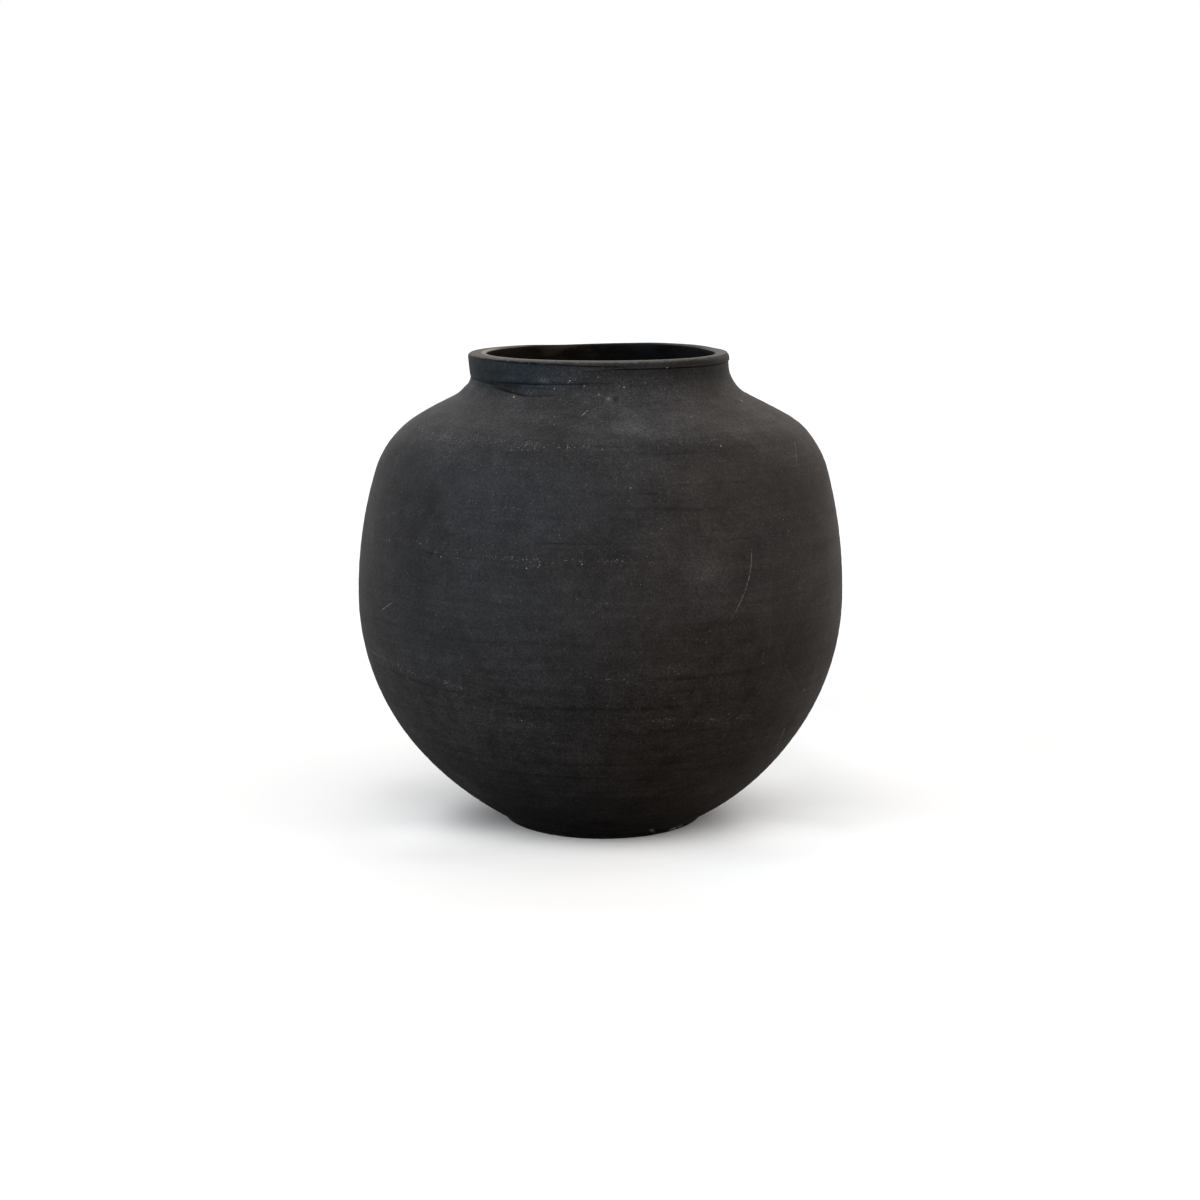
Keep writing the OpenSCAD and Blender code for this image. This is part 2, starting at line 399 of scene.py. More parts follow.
# Rows of grit dragged along the seams: (angle, height) of each end, half width and how thick the grit is
GRIT_ROWS = (
    ((-72, 257.2), (-42, 255), 2.3, 0.9), ((-60, 254), (-40, 252.6), 2, 0.7),
    ((-46, 256.4), (-15, 255.6), 2.4, 0.9), ((-28, 254.2), (6, 252.6), 3.2, 0.6),
    ((0, 255.8), (36, 255), 3.4, 0.28), ((-50, 196), (-26, 193.4), 3.6, 0.6),
    ((-46, 191.4), (-24, 189.6), 1.6, 0.9), ((-30, 193), (-2, 190.6), 2.8, 0.9),
    ((-22, 188.2), (-5, 188.8), 1.8, 0.9), ((-3, 192.8), (17, 190.2), 2.4, 0.7),
    ((-50, 205.6), (-16, 204.6), 2.2, 0.35), ((11, 210), (29, 209.6), 1.7, 0.5),
    ((28, 208.8), (58, 207), 1.5, 0.6), ((-64, 118.2), (-27, 111.6), 4, 0.95),
    ((-5, 126.4), (9, 124.4), 3.8, 0.85), ((9, 128.6), (21, 127), 4.6, 0.9),
    ((-10, 93.6), (-1, 93.2), 1.6, 0.7), ((0, 98.4), (7, 97.8), 1.6, 0.7),
    ((9, 98), (20, 95.8), 4.2, 0.9), ((17, 94.4), (40, 92), 3.6, 0.9),
    ((55, 98.6), (64, 98.8), 1.4, 1), ((60, 98.2), (80, 100.6), 1.2, 0.8),
    ((-19, 43.6), (-6, 42.6), 2.6, 0.8), ((84, 255.4), (126, 254.2), 2.6, 0.6),
    ((118, 252.8), (172, 254), 2.6, 0.5), ((-174, 254.6), (-124, 253.2), 2.8, 0.6),
    ((-122, 255.6), (-78, 256.8), 2.4, 0.6), ((92, 190.6), (152, 192.2), 3, 0.6),
    ((-170, 191.8), (-100, 193.4), 3, 0.6), ((100, 116), (146, 118.4), 3.8, 0.7),
    ((-160, 113), (-108, 115.8), 3.6, 0.7),
)
# How far a row wavers up and down, its waves as (waves per turn, start in degrees, share), and the degrees
# over which its ends fade
GRIT_WAVER = 0.5
GRIT_WAVES = ((11, 0, 1), (29, 40, 0.6))
GRIT_FADE = 4


def soft_step(value, low, high):
    t = np.clip((value - low) / (high - low), 0, 1)
    return t * t * (3 - 2 * t)


def bell(value, width):
    return np.exp(-(value / width) ** 2)


def window(value, low, high, fade):
    """1 between low and high, easing to 0 over fade inside each end."""
    return soft_step(value, low, low + fade) * soft_step(-value, -high, fade - high)


def height_on(line, degrees):
    """Height of a line of (angle, height) points."""
    return np.interp(degrees, *zip(*line))


def waver(angle):
    """Slow unevenness round the vase, about -1 to 1."""
    total = 0
    for harmonic in WAVER_HARMONICS:
        total = total + np.sin(harmonic * angle + draws.uniform(0, 2 * math.pi)) / harmonic
    return total / WAVER_REACH


ring_wavers = [waver(column_angles) for _ in RING_PITCHES]
ring_phases = draws.uniform(0, 2 * math.pi, len(RING_PITCHES))


def throwing_rings(along, angle):
    """Faint rings left by the fingers, along the wall in millimetres."""
    total = 0
    for pitch, fade, phase in zip(RING_PITCHES, ring_wavers, ring_phases):
        rings = np.sin(2 * math.pi * along / pitch + angle + phase) - 1
        total = total + rings * (1 - RING_FADE + RING_FADE * fade)
    return RING_DEPTH * total


def wear_and_highlight_at(height, degrees):
    """Height above the edge of the lip's band of wear and painted highlight, in millimetres."""
    return height - height_on(WEAR_AND_HIGHLIGHT_EDGE, degrees)


def stains_and_painted_light_at(height, degrees):
    """How much lighter (plus) or darker (minus) the clay is, as a power of e, painted light and shade
    included.
    """
    total = 0
    # Painted shade low on the foot, near the floor
    for low, high, darker in FOOT_PAINTED_SHADES:
        total = total - darker * (1 - soft_step(height, low, high))
    # Stains, with painted shade and highlights among them
    for at, middle, wide, high, lighter in STAINS_AND_PAINTED_LIGHT:
        near = 1 - soft_step(np.abs(degrees - at), 0, wide)
        total = total + lighter * near * (1 - soft_step(np.abs(height - middle), 0, high))
    # Painted shade in the hollow under the crease
    lens = soft_step(height - height_on(HOLLOW_FOOT, degrees), *HOLLOW_SHADE_FOOT)
    lens = lens * (1 - soft_step(height - height_on(CREASE, degrees), *HOLLOW_SHADE_TOP))
    shade = 0
    for span, darker in HOLLOW_SHADES:
        shade = shade + darker * window(degrees, *span)
    return total - lens * shade


def blue_at(height, degrees):
    """Bluish smear on the left of the neck, easing out on the shoulder."""
    above_foot = height - height_on(BLUE_FOOT, degrees)
    round_the_neck = soft_step(degrees, *BLUE_START) * (1 - soft_step(degrees, *BLUE_END))
    return soft_step(above_foot, *BLUE_EDGE) * round_the_neck


def grit_at(height, degrees):
    """How thick the dragged grit lies, 0 to 1."""
    waves = 0
    for per_turn, first, share in GRIT_WAVES:
        waves = waves + share * np.sin(np.radians(per_turn * degrees + first))
    wavy = height + GRIT_WAVER * waves
    total = 0 * wavy
    for start, end, half, thick in GRIT_ROWS:
        near = 1 - soft_step(np.abs(wavy - height_on((start, end), degrees)), 0, half)
        total = np.maximum(total, thick * near * window(degrees, start[0], end[0], GRIT_FADE))
    return total


def outer_relief(along, height, angle):
    """How far the outside stands out of its smooth section, by station, height and angle."""
    degrees = np.degrees(angle)
    relief = throwing_rings(along, angle)
    relief = relief * soft_step(height, *RINGS_START) * (1 - soft_step(height, *RINGS_END))
    for line, above, half, depth, span in PRESSED_LINES:
        from_line = height - height_on(line, degrees) - above
        relief = relief - depth * bell(from_line, half) * window(degrees, *span)
    for span, middle, half, stand in SWELLS:
        relief = relief + stand * window(degrees, *span) * bell(height - middle, half)
    hollow = soft_step(height - height_on(HOLLOW_FOOT, degrees), *HOLLOW_EDGE)
    hollow = hollow * (1 - soft_step(height, *HOLLOW_TOP))
    relief = relief - HOLLOW_DEPTH * hollow * window(degrees, *HOLLOW_SPAN)
    across = np.radians(degrees - PIMPLE_ANGLE) * PIMPLE_WALL
    from_pimple = np.hypot(across, PIMPLE_SQUEEZE * (height - PIMPLE_LEVEL))
    return relief + PIMPLE_STAND * bell(from_pimple, PIMPLE_HALF)


def lip_shift(radius, height, angle):
    """How far the neck and lip move out: a bead with a line under it on the right, one wall on the left."""
    degrees = np.degrees(angle)
    below_top = height < LIP_SHIFT_TO
    stand = np.maximum(radius - NECK_RADIUS, 0) * (height > LIP_FOOT)
    right = window(degrees, *BEAD_SPAN)
    shift = right * stand * (soft_step(height, *BEAD_FOOT) - 1) * below_top
    shift = shift - BEAD_LINE_DEPTH * right * bell(height - BEAD_LINE, BEAD_LINE_HALF)
    left = window(degrees, *SMEAR_SPAN)
    filled = NECK_RADIUS + LIP_STAND * soft_step(height, *SMEAR_FOOT)
    return shift + left * np.maximum(filled - radius, 0) * below_top


def turned(points, normals, along, depth):
    """Places of the section's points at every column: rows by columns by 3, in metres.

    depth is 0 on the outside, 1 on the inside and between at the seams.
    """
    angle = column_angles[None, :]
    height = points[:, 1:2] / MM
    out = np.zeros((len(points), COLUMNS))
    outside = depth == 0
    out[outside] = outer_relief(along[outside, None] / MM, height[outside], angle)
    inside = depth == 1
    inner_rings = np.sin(2 * math.pi * along[inside, None] / MM / INNER_RING_PITCH + angle) - 1
    inner_rings = INNER_RING_DEPTH * inner_rings * (1 - soft_step(height[inside], *INNER_RINGS_END))
    out[inside] = inner_rings * soft_step(height[inside], *INNER_RINGS_START)
    radius = points[:, :1] + out * MM * normals[:, :1]
    near_lip = outside & (points[:, 1] > LIP_SHIFT_FROM * MM)
    radius[near_lip] += MM * lip_shift(points[near_lip, :1] / MM, height[near_lip], angle)
    z = points[:, 1:2] + out * MM * normals[:, 1:]
    outer_lean = eased(*zip(*OUTER_LEAN), points[:, 1] / MM)
    inner_lean = eased(*zip(*INNER_LEAN), points[:, 1] / MM)
    lean = (outer_lean + (inner_lean - outer_lean) * depth)[:, None] * MM
    degrees = np.degrees(angle)
    drop = eased(*zip(*RIM_DROPS), degrees[0])[None, :]
    z = z - drop * MM * soft_step(height, RIM_FOOT, VASE_TOP / MM)
    across_lip = np.clip((points[:, :1] / MM - MOUTH_RADIUS) / (NECK_RADIUS - MOUTH_RADIUS), 0, 1)
    tilt = BACK_TILT * soft_step(np.abs(degrees), *BACK_TILT_ANGLES) * across_lip
    tilt = tilt * (1 - LESS_TILT * window(degrees, *LESS_TILT_SPAN))
    z = z - tilt * MM * soft_step(height, BACK_TILT_FOOT, VASE_TOP / MM)
    return np.stack([radius * np.sin(angle) + lean, -radius * np.cos(angle), z + 0 * angle], axis=2)


# Meshes of the pieces

SHARP_EDGE = math.radians(38)
# Strips of the map for the bake, the margin round each and the least girth that it reckons with
OUTER_STRIPS = 3
INNER_STRIPS = 2
STRIP_MARGIN = 0.006
LEAST_GIRTH = 50 * MM
NO_AREA = 1e-12
MARKS = (("wear_and_highlight", wear_and_highlight_at), ("stains_and_painted_light", stains_and_painted_light_at), ("blue", blue_at), ("grit", grit_at))

# Rows of a piece's section that face one way: its outside, its inside or a seam
Stretch = namedtuple("Stretch", "points normals along depth strips")


def row_lengths(stretch):
    steps = np.diff(stretch.points, axis=0)
    return np.hypot(steps[:, 0], steps[:, 1])


def wall_stretch(start, end, strips):
    at = rows_between(start, end)
    depth = (at > crest).astype(float)
    return Stretch(on_section(at), outward(at), at, depth, strips)


def seam_stretch(seam):
    depth = np.linspace(0, 1, len(seam))
    normals = np.zeros_like(seam)
    along = np.zeros(len(seam))
    along[0] = station_of(seam[0])
    along[-1] = station_of(seam[-1])
    normals[[0, -1]] = outward(along[[0, -1]])
    return Stretch(seam, normals, along, depth, 1)


def stretches_of(k):
    """Stretches round the section of piece k, going up the outside and down the inside."""
    loop = []
    outer_start = 0.0 if k == 0 else station_of(seams[k - 1][0])
    inner_end = stations[-1] if k == 0 else station_of(seams[k - 1][-1])
    if k == len(PIECES) - 1:
        loop.append(wall_stretch(outer_start, inner_end, OUTER_STRIPS))
    else:
        loop.append(wall_stretch(outer_start, station_of(seams[k][0]), OUTER_STRIPS))
        loop.append(seam_stretch(seams[k]))
        loop.append(wall_stretch(station_of(seams[k][-1]), inner_end, INNER_STRIPS))
    if k > 0:
        *rows, strips = seam_stretch(seams[k - 1])
        loop.append(Stretch(*[row[::-1] for row in rows], strips))
    return loop


def strip_maps(loop):
    """For each stretch, where its rows lie up the map in its first strip, and the step to the next strip."""
    heights = []
    for stretch in loop:
        girth = 2 * math.pi * stretch.points[:, 0].mean() / stretch.strips
        heights.append(row_lengths(stretch).sum() / max(girth, LEAST_GIRTH))
    room = 1 - STRIP_MARGIN * (1 + sum(stretch.strips for stretch in loop))
    share = min(1.0, room / sum(h * stretch.strips for h, stretch in zip(heights, loop)))
    maps = []
    base = STRIP_MARGIN
    for height, stretch in zip(heights, loop):
        lengths = np.concatenate([[0.0], np.cumsum(row_lengths(stretch))])
        rise = lengths / lengths[-1] * height * share
        step = height * share + STRIP_MARGIN
        maps.append((base + rise, step))
        base += step * stretch.strips
    return maps


def on_points(stretch, mark_of):
    """A mark's values at a stretch's points, rows by columns. Inside, only the lip's wear and painted
    highlight have any.
    """
    height = stretch.points[:, 1:2] / MM
    within = height - WEAR_AND_HIGHLIGHT_EDGE_INSIDE if mark_of is wear_and_highlight_at else 0
    marked = mark_of(height, np.degrees(column_angles)[None, :])
    return np.where(stretch.depth[:, None] == 1, within, marked)


def in_one(grids, closed):
    """Rows of the stretches of a piece in one grid, with the rows that two of them share written once."""
    rows = [grid[:-1] for grid in grids]
    if not closed:
        rows.append(grids[-1][-1:])
    return np.concatenate(rows)


def faces_and_map(loop, count):
    """Corners of the faces between count rows of points, and each corner's place on the map for the bake."""
    columns = np.arange(COLUMNS)
    onward = (columns + 1) % COLUMNS
    corners = []
    places = []
    row = 0
    for stretch, (rise, step) in zip(loop, strip_maps(loop)):
        per_strip = COLUMNS // stretch.strips
        strip = columns // per_strip
        left = (columns % per_strip) / per_strip * (1 - 2 * STRIP_MARGIN) + STRIP_MARGIN
        right = left + (1 - 2 * STRIP_MARGIN) / per_strip
        across = np.stack([left, right, right, left], axis=1)
        for k in range(len(stretch.points) - 1):
            low = (row % count) * COLUMNS
            high = ((row + 1) % count) * COLUMNS
            corners.append(np.stack([low + columns, low + onward, high + onward, high + columns], axis=1))
            bottom = rise[k] + strip * step
            top = rise[k + 1] + strip * step
            places.append(np.stack([across, np.stack([bottom, bottom, top, top], axis=1)], axis=2))
            row += 1
    return np.concatenate(corners), np.concatenate(places)


def faces_inside(stretch):
    """Which rows of a stretch's faces are inside the vase, below the lip's wear and painted highlight."""
    inside = (stretch.depth[1:] == 1) & (stretch.depth[:-1] == 1)
    return inside & (stretch.points[1:, 1] < WEAR_AND_HIGHLIGHT_EDGE_INSIDE * MM)


def add_piece(name, loop):
    """Mesh object of one piece from the stretches round its section, with its map for the bake."""
    closed = loop[0].points[0, 0] > SAME_RING
    rows = in_one([turned(*stretch[:4]) for stretch in loop], closed)
    corners, places = faces_and_map(loop, len(rows))
    mesh = bpy.data.meshes.new(name)
    mesh.vertices.add(len(rows) * COLUMNS)
    mesh.vertices.foreach_set("co", rows.ravel())
    mesh.loops.add(corners.size)
    mesh.loops.foreach_set("vertex_index", corners.ravel())
    mesh.polygons.add(len(corners))
    mesh.polygons.foreach_set("loop_start", np.arange(len(corners)) * 4)
    mesh.polygons.foreach_set("use_smooth", np.ones(len(corners), bool))
    mesh.uv_layers.new(name="OFBake").uv.foreach_set("vector", places.ravel())
    for mark_name, mark_of in MARKS:
        values = in_one([on_points(stretch, mark_of) for stretch in loop], closed)
        mesh.attributes.new(mark_name, "FLOAT", "POINT").data.foreach_set("value", values.ravel())
    within = np.concatenate([faces_inside(stretch) for stretch in loop])
    mesh.polygons.foreach_set("material_index", np.repeat(within, COLUMNS).astype(np.int32))
    mesh.update(calc_edges=True)
    if not closed:
        close_axis(mesh)
    mesh.set_sharp_from_angle(angle=SHARP_EDGE)
    piece = bpy.data.objects.new(name + "_clay", mesh)
    bpy.context.scene.collection.objects.link(piece)
    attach(piece, BODY)
    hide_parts(name)
    return piece


def close_axis(mesh):
    """Joins the points that lie together on the axis, so that a disc's quads there become triangles."""
    work = bmesh.new()
    work.from_mesh(mesh)
    on_axis = [
        v for v in work.verts
        if not v.link_faces or min(f.calc_area() for f in v.link_faces) < NO_AREA
    ]
    bmesh.ops.remove_doubles(work, verts=on_axis, dist=SAME_RING)
    work.to_mesh(mesh)
    work.free()


pieces = [add_piece(name, stretches_of(k)) for k, name in enumerate(PIECES)]

# Clay


class Nodes:
    """Short ways to add nodes to one node tree."""

    def __init__(self, tree):
        self.tree = tree
        tree.nodes.clear()

    def add(self, kind, inputs=None, **settings):
        node = self.tree.nodes.new("ShaderNode" + kind)
        for name, value in settings.items():
            setattr(node, name, value)
        for name, value in (inputs or {}).items():
            if isinstance(value, bpy.types.NodeSocket):
                self.tree.links.new(value, node.inputs[name])
            else:
                node.inputs[name].default_value = value
        return node

    def math(self, operation, *values, clamp=False):
        inputs = dict(enumerate(values))
        return self.add("Math", inputs, operation=operation, use_clamp=clamp).outputs[0]

    def chain(self, operation, values):
        return reduce(lambda so_far, value: self.math(operation, so_far, value), values)

    def total(self, *values):
        return self.chain("ADD", values)

    def product(self, *values):
        return self.chain("MULTIPLY", values)

    def most(self, *values):
        return self.chain("MAXIMUM", values)

    def scaled(self, value, factor, plus):
        return self.math("MULTIPLY_ADD", value, factor, plus)

    def ramp(self, value, low, high, start=0, end=1, smooth=True):
        """Value from low to high as start to end, held at the ends."""
        node = self.add("MapRange", {
            "Value": value, "From Min": low, "From Max": high, "To Min": start, "To Max": end,
        }, interpolation_type="SMOOTHSTEP" if smooth else "LINEAR", clamp=True)
        return node.outputs[0]

    def fall(self, value, low, high):
        """1 up to low, easing to 0 at high."""
        return self.ramp(value, low, high, 1, 0)

    def off(self, value, middle):
        """How far value is from middle, either way."""
        return self.math("ABSOLUTE", self.math("SUBTRACT", value, middle))

    def length(self, across, up):
        return self.math("SQRT", self.scaled(across, across, self.product(up, up)))

    def mix(self, factor, first, second, blend="MIX"):
        inputs = {0: factor, 6: first, 7: second}
        return self.add("Mix", inputs, data_type="RGBA", blend_type=blend).outputs[2]


class Material(Nodes):
    """Nodes of a new material that goes by the place on its object, in metres."""

    def __init__(self, name):
        self.material = bpy.data.materials.new(name)
        self.material.use_nodes = True
        super().__init__(self.material.node_tree)
        self.place = self.add("TexCoord").outputs["Object"]
        self.x, self.y, self.z = self.add("SeparateXYZ", {0: self.place}).outputs

    def noise(self, scale, detail=3, roughness=0.55, vector=None):
        node = self.add("TexNoise", {
            "Vector": self.place if vector is None else vector,
            "Scale": scale, "Detail": detail, "Roughness": roughness,
        })
        return node.outputs["Fac"]

    def drawn_out(self, across, up, detail=3, roughness=0.55):
        """Noise with one scale across and another up."""
        scales = {0: self.place, 1: (across, across, up)}
        vector = self.add("VectorMath", scales, operation="MULTIPLY").outputs[0]
        return self.noise(1, detail, roughness, vector)

    def finish(self, surface):
        self.add("OutputMaterial", {"Surface": surface.outputs[0]})
        return self.material


COOL_CLAY = (0.0219, 0.0236, 0.0271, 1)
WARM_CLAY = (0.0289, 0.0239, 0.0213, 1)
FOOT_TINT = (1.25, 1, 0.72, 1)
SAND = (0.29, 0.255, 0.20, 1)
CHALK = (0.30, 0.30, 0.31, 1)
PIT = (0.58, 0.58, 0.58, 1)
WEAR_AND_HIGHLIGHT_COLOUR = (0.074, 0.067, 0.060, 1)
PAINTED_RIM_HIGHLIGHT = (0.21, 0.195, 0.18, 1)
NECK_BLUE = (0.465, 0.76, 0.945, 1)
INNER_BROWN = (0.0036, 0.0028, 0.0022, 1)
INNER_BLUE = (0.0022, 0.0026, 0.0032, 1)
INNER_SMEAR = (0.021, 0.016, 0.0118, 1)
INNER_PAINTED_SHEEN = (0.0055, 0.0062, 0.0072, 1)
SCRATCH = (0.16, 0.155, 0.15, 1)
CHIP = (0.26, 0.21, 0.165, 1)

# Thin streaks and painted light lines: (angle, height) of each end, half width and how much lighter they are
STREAKS_AND_PAINTED_LIGHT = (
    # The second line is painted shadow under a grit row on the left
    ((-16, 201.8), (2, 201.2), 1, -0.6), ((-46, 190.8), (-26, 190.4), 1.1, -0.5),
    ((-12, 254.8), (8, 254.2), 0.8, -0.5), ((8, 250.4), (30, 250.2), 1.3, -0.45),
    ((6, 229.4), (24, 227.6), 1.6, -0.4), ((8, 233.6), (40, 232.6), 1.3, -0.35),
    ((2, 222.4), (30, 217.4), 2.4, -0.3), ((24, 202), (62, 200.4), 1.4, -0.25),
    ((-62, 113.6), (-30, 107.6), 2, -0.5), ((-32, 107.4), (-12, 104.6), 2.2, -0.35),
    ((-20, 104.4), (20, 104.6), 2.6, -0.5), ((9, 122.4), (38, 121.8), 2.4, -0.45),
    ((4, 112), (10, 108), 2.6, -0.35), ((10, 89.6), (20, 88.6), 1.8, -0.45),
    ((-46, 67.4), (24, 66.6), 2.4, -0.35), ((-34, 57.4), (4, 56.6), 2, -0.35),
    ((-26, 144), (30, 143), 2.4, -0.2), ((-66, 143), (-18, 142.2), 2.2, -0.25),
    # A light line, then a painted highlight on the left ledge's edge
    ((-20, 12.6), (-14, 12), 1.2, 0.6), ((-72, 119.6), (-62, 117.6), 1, 1.5),
    # Painted shade in the neck's crease, along the hollow's lower edge and under the lip's band
    ((-80, 284.9), (-48, 283.7), 1, -2), ((-58, 284.1), (-35, 284.4), 1.9, -1),
    ((-54, 282.2), (-40, 280.3), 1, -1.2), ((-46, 281), (-30, 278.4), 0.7, -1.6),
    ((-32, 278.5), (-15, 279.9), 0.5, -0.9), ((-50, 285.7), (-27, 285.5), 0.5, -0.9),
    ((-32, 285.4), (-5, 286.6), 0.5, -1.3), ((-12, 286.5), (6, 287), 0.5, -0.8),
    ((-30, 283.4), (-16, 283.4), 0.5, -0.5), ((-72, 298.5), (-46, 298.5), 0.9, -2),
    ((-52, 298.4), (-25, 298), 0.9, -2.6), ((-36, 298.1), (-25, 297.9), 0.9, -2),
    ((-26, 298), (-12, 297.6), 0.9, -2.2), ((-16, 297.6), (11, 296.6), 0.7, -2.2),
)
STREAK_FADE = 4
# How far the body's lines waver up and down, and the height from which the neck's painted shade lines are
# straight
STREAK_WAVER = 0.9
NECK_FROM = 270

# Scratches: angle and height of the top, their fall, their lean in degrees per mm, its bend and half width
SCRATCHES = (
    (35.6, 196, 45, 0, -0.0038, 0.35),
    (-53.5, 156.8, 8, -0.76, 0, 0.75),
    (55, 77, 18, 0.14, 0, 0.7),
    (-4.4, 272.4, 3.4, -0.72, 0, 0.7),
    (63.8, 250.3, 11, -0.5, 0, 0.35),
)
# Big grains: angle, height, radius of the wall there and half width
BIG_GRAINS = (
    (-12.8, 288.5, 82, 0.6), (-13.5, 287.4, 82, 0.5), (-37.4, 277.7, 87, 0.7), (-19.5, 283.5, 83, 0.5),
    (-0.8, 280.7, 85, 0.45), (29.2, 295.5, 82, 0.7), (-1, 290.8, 82, 0.4), (9.8, 284.7, 83, 0.55),
    (-6.8, 285.5, 82, 0.45), (67, 272.6, 92, 0.7), (-18.4, 95.4, 150, 0.5), (7, 232.6, 140, 0.45),
    (-4, 190.2, 150, 0.5), (-16.2, 187, 150, 0.5), (-38, 189.2, 150, 0.5), (33.4, 252.8, 125, 0.45),
)
BIG_GRAIN_COVER = 0.8
# Shares of its fall at which a scratch is full and starts to fade, and the wall's radius below the shoulder
# and on it
SCRATCH_START = 0.12
SCRATCH_END = 0.75
BODY_RADIUS = 0.14
SHOULDER_RADIUS = 0.1
SHOULDER_FROM = 240
# Warm on the right and cool on the left are partly the clay's hue, partly painted tint of the light from each
# side
# Where the clay is warmer: upward or to the right, from and to in metres, and the warmth at each end
WARMER = (
    (True, (0.05, 0.19, 0.36, 0)), (False, (-0.075, 0.085, 0, 0.7)),
    (False, (-0.145, -0.1, 0.35, 0)), (False, (0.1, 0.15, 0, 0.2)),
)
# Depths of the bands, wisps, streaks, mottle and grain, and how much lighter the grit makes a seam
UNEVEN_DEPTHS = (0.36, 0.44, 0.27, 2.1, 2.25)
SEAM_LIGHTER = 0.18
# Specks: scale, share of cells with one, widest half width and soft edge, then least and most cover
PITS = (330, 0.3, 0.22, 0.06)
PIT_COVER = (0.2, 0.8)
DUST = (680, 0.65, 0.32, 0.1)
DUST_COVER = (0.03, 0.19)
GRAINS = (260, 0.4, 0.14, 0.04)
GRAIN_COVER = (0.06, 0.36)
DRAGGED = (950, 0.8, 0.56, 0.14)
DRAGGED_COVER = (0.07, 0.42)
DRAGGED_SHARE = 1.35


class Clay(Material):
    """Nodes of the outer clay, with its angle round the vase and the marks on it."""

    def __init__(self, name):
        super().__init__(name)
        self.angle = self.math("ARCTAN2", self.x, self.product(self.y, -1))
        waver = self.scaled(self.noise(32, 2), 2 * STREAK_WAVER * MM, -STREAK_WAVER * MM)
        self.wavy_z = self.total(self.z, waver)

    def mark(self, name):
        return self.add("Attribute", attribute_name=name).outputs["Fac"]

    def along(self, start, end, half, height):
        """1 on a line between two (angle, height) ends, easing to 0 at half its width and at its ends."""
        low, high = math.radians(start[0]), math.radians(end[0])
        fade = math.radians(STREAK_FADE)
        slope = (end[1] - start[1]) * MM / (high - low)
        line = self.scaled(self.angle, slope, start[1] * MM - slope * low)
        ends = self.product(self.ramp(self.angle, low, low + fade), self.fall(self.angle, high - fade, high))
        return self.product(self.fall(self.off(height, line), 0, half * MM), ends)

    def scratch(self, top_angle, top, drop, slant, bend, half):
        down = self.math("SUBTRACT", top * MM, self.z)
        bent = self.scaled(down, math.radians(bend) / MM ** 2, math.radians(slant) / MM)
        line = self.scaled(down, bent, math.radians(top_angle))
        start = self.ramp(down, 0, SCRATCH_START * drop * MM)
        ends = self.product(start, self.fall(down, SCRATCH_END * drop * MM, drop * MM))
        radius = BODY_RADIUS if top < SHOULDER_FROM else SHOULDER_RADIUS
        return self.product(self.fall(self.off(self.angle, line), 0, half * MM / radius), ends)

    def big_grain(self, at, height, radius, half):
        across = self.product(self.math("SUBTRACT", self.angle, math.radians(at)), radius * MM)
        up = self.math("SUBTRACT", self.z, height * MM)
        return self.ramp(self.length(across, up), 0.5 * half * MM, half * MM, BIG_GRAIN_COVER, 0)

    def specks(self, scale, share, widest, edge):
        """Small round specks: how much each covers, and two lots of luck for its tone."""
        cells = self.add("TexVoronoi", {"Vector": self.place, "Scale": scale})
        luck = self.add("SeparateColor", {0: cells.outputs["Color"]})
        size = self.ramp(luck.outputs[0], 1 - share, 1, 0, widest, smooth=False)
        cover = self.ramp(self.math("SUBTRACT", size, cells.outputs["Distance"]), 0, edge)
        return cover, luck.outputs[1], luck.outputs[2]


def bare_clay(n):
    """Broad colour and painted light tint: warmer low, on the right and at the edges, cooler on the upper
    body's left.
    """
    warmth = n.ramp(n.noise(9), 0.25, 0.75, -0.15, 0.15)
    reaches = [n.ramp(n.z if upward else n.x, *reach) for upward, reach in WARMER]
    warmth = n.total(warmth, *reaches)
    shoulder = n.product(n.ramp(n.z, 0.235, 0.262), n.ramp(n.x, -0.03, 0.03, 0.2, -0.12))
    cool_patch = n.product(n.ramp(n.z, 0.19, 0.216, 0, -0.28), n.fall(n.z, 0.245, 0.265))
    cool_patch = n.product(cool_patch, n.ramp(n.x, -0.1, -0.05), n.fall(n.x, 0, 0.05))
    warmth = n.math("ADD", n.total(warmth, shoulder), cool_patch, clamp=True)
    colour = n.mix(warmth, COOL_CLAY, WARM_CLAY)
    low_right = n.product(n.fall(n.z, 0.012, 0.046), n.ramp(n.x, 0.015, 0.055))
    return n.mix(low_right, colour, FOOT_TINT, "MULTIPLY")


